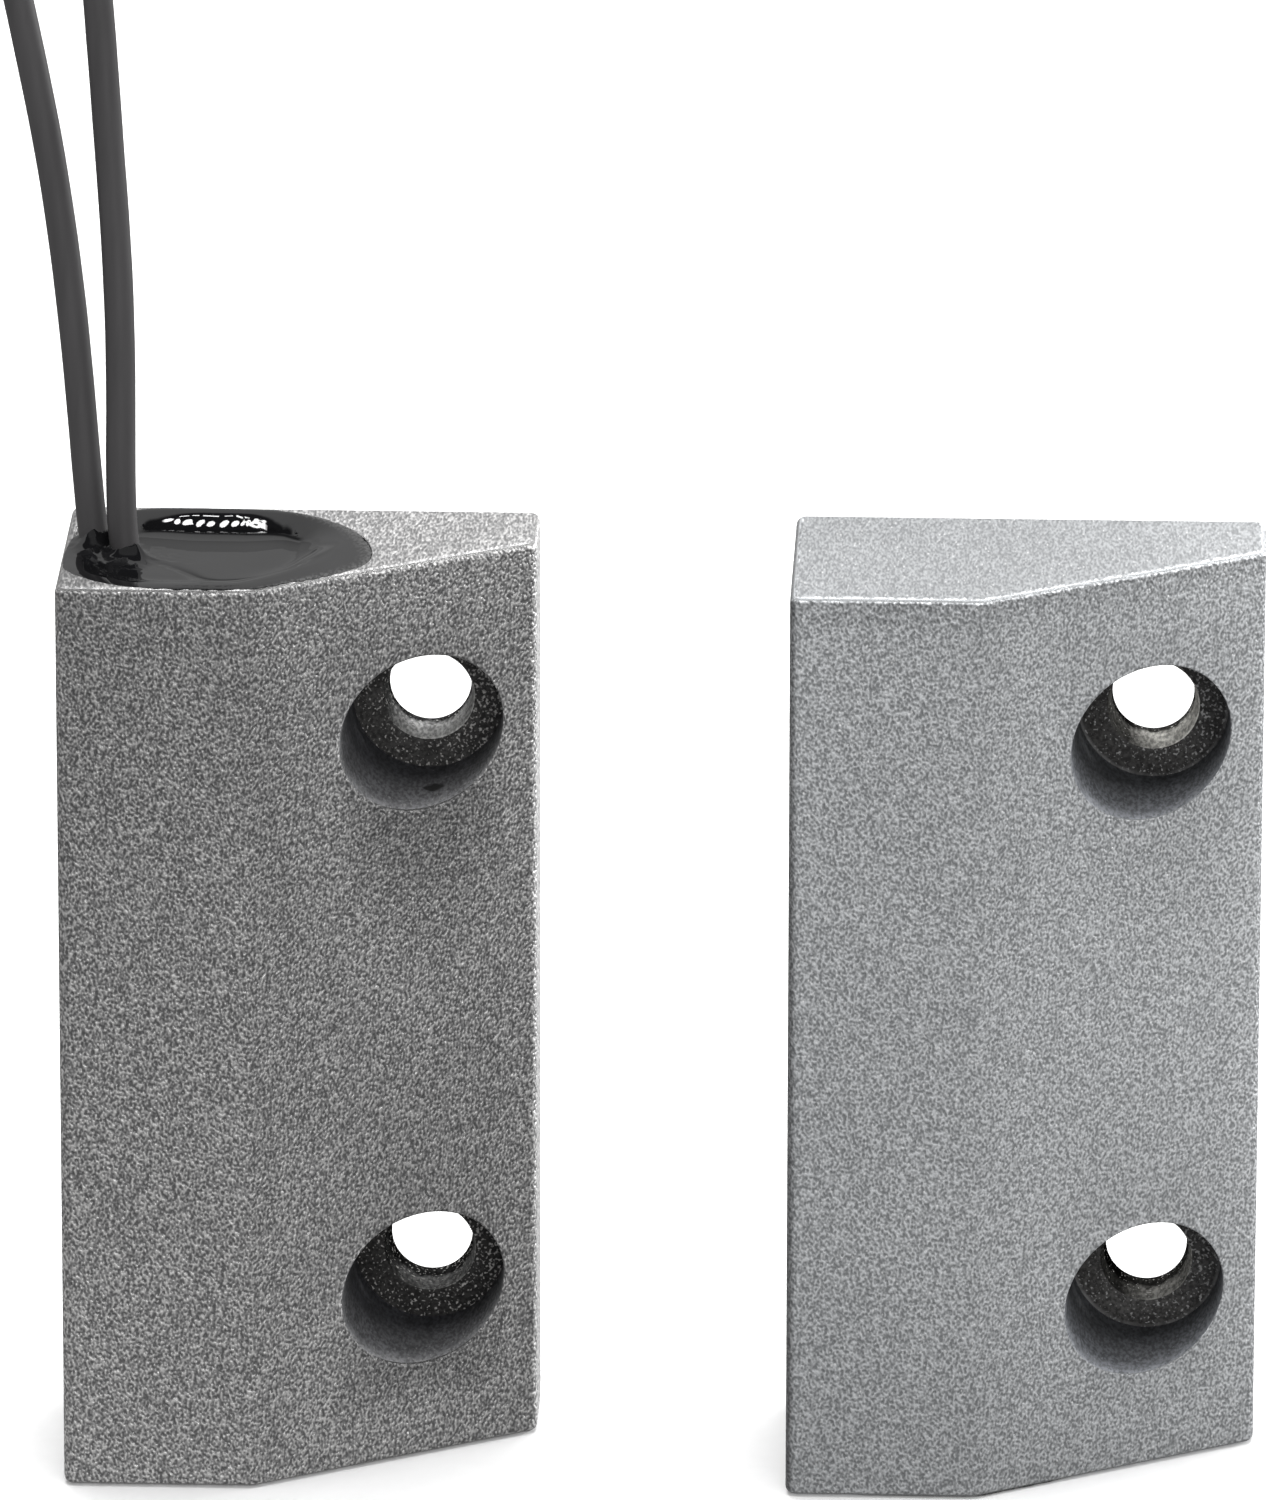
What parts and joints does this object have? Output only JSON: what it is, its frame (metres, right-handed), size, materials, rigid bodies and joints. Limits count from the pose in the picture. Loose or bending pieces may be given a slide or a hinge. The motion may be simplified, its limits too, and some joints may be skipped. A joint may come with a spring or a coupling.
{
  "type": "door contact sensor",
  "caption": "Surface-mount door contact: a wired reed switch half with two leads and a matching magnet half, wedge-shaped cast metal cases with counterbored screw holes.",
  "frame": {"origin": "centre of the switch half's flat back, its mounting face", "axes": "+Y out of the back into the wall, -Y towards the room, +X from the switch half to the magnet half, +Z along the length to the end where the leads leave"},
  "size_m": [0.0689, 0.014, 0.099],
  "materials": {
    "switch_metal": "fine sand-textured metallic grey with light speckle, darker half",
    "magnet_metal": "fine sand-textured metallic grey with light speckle, lighter cool half",
    "resin": "glossy black cast epoxy with a dished surface",
    "tray_plastic": "natural moulded nylon",
    "reed_glass": "clear greenish reed glass",
    "reed_alloy": "bright nickel-iron with plated contact tips",
    "solder": "bright tin solder, slightly wrinkled",
    "heat_shrink": "black heat-shrink tube",
    "lead_pvc": "black PVC wire insulation, soft sheen",
    "tinned_core": "tinned stranded copper",
    "magnet_ferrite": "ground ferrite, dark grey"
  },
  "bodies": {
    "switch_half": {"switch_housing": "switch_metal", "switch_potting": "resin", "reed_carrier": "tray_plastic", "reed_glass_tube": "reed_glass", "reed_pin_near": "reed_alloy", "reed_pin_far": "reed_alloy", "solder_joint_near": "solder", "solder_joint_far": "solder", "heat_shrink_near": "heat_shrink", "heat_shrink_far": "heat_shrink", "lead_insulation_left": "lead_pvc", "lead_insulation_right": "lead_pvc", "lead_core_left": "tinned_core", "lead_core_right": "tinned_core"},
    "magnet_half": {"magnet_housing": "magnet_metal", "magnet_potting": "resin", "magnet_carrier": "tray_plastic", "bar_magnet": "magnet_ferrite"},
    "blade_near": {"reed_blade_near": "reed_alloy"},
    "blade_far": {"reed_blade_far": "reed_alloy"}
  },
  "joints": [
    {"name": "door_travel", "type": "slide", "parent": "switch_half", "child": "magnet_half", "axis": [1, 0, 0], "range_m": [-0.012, 0.04]},
    {"name": "blade_near_flex", "type": "hinge", "parent": "switch_half", "child": "blade_near", "pos_m": [-0.0036, -0.0066, 0.0066], "axis": [0, -1, 0], "range_deg": [-0.2, 0.6]},
    {"name": "blade_far_flex", "type": "hinge", "parent": "switch_half", "child": "blade_far", "pos_m": [-0.0036, -0.0066, -0.0066], "axis": [0, -1, 0], "range_deg": [-0.2, 0.6]}
  ],
  "couplings": [
    {"joint": "blade_near_flex", "follows": "door_travel", "rad_per_m": 0.19},
    {"joint": "blade_far_flex", "follows": "door_travel", "rad_per_m": 0.19}
  ]
}
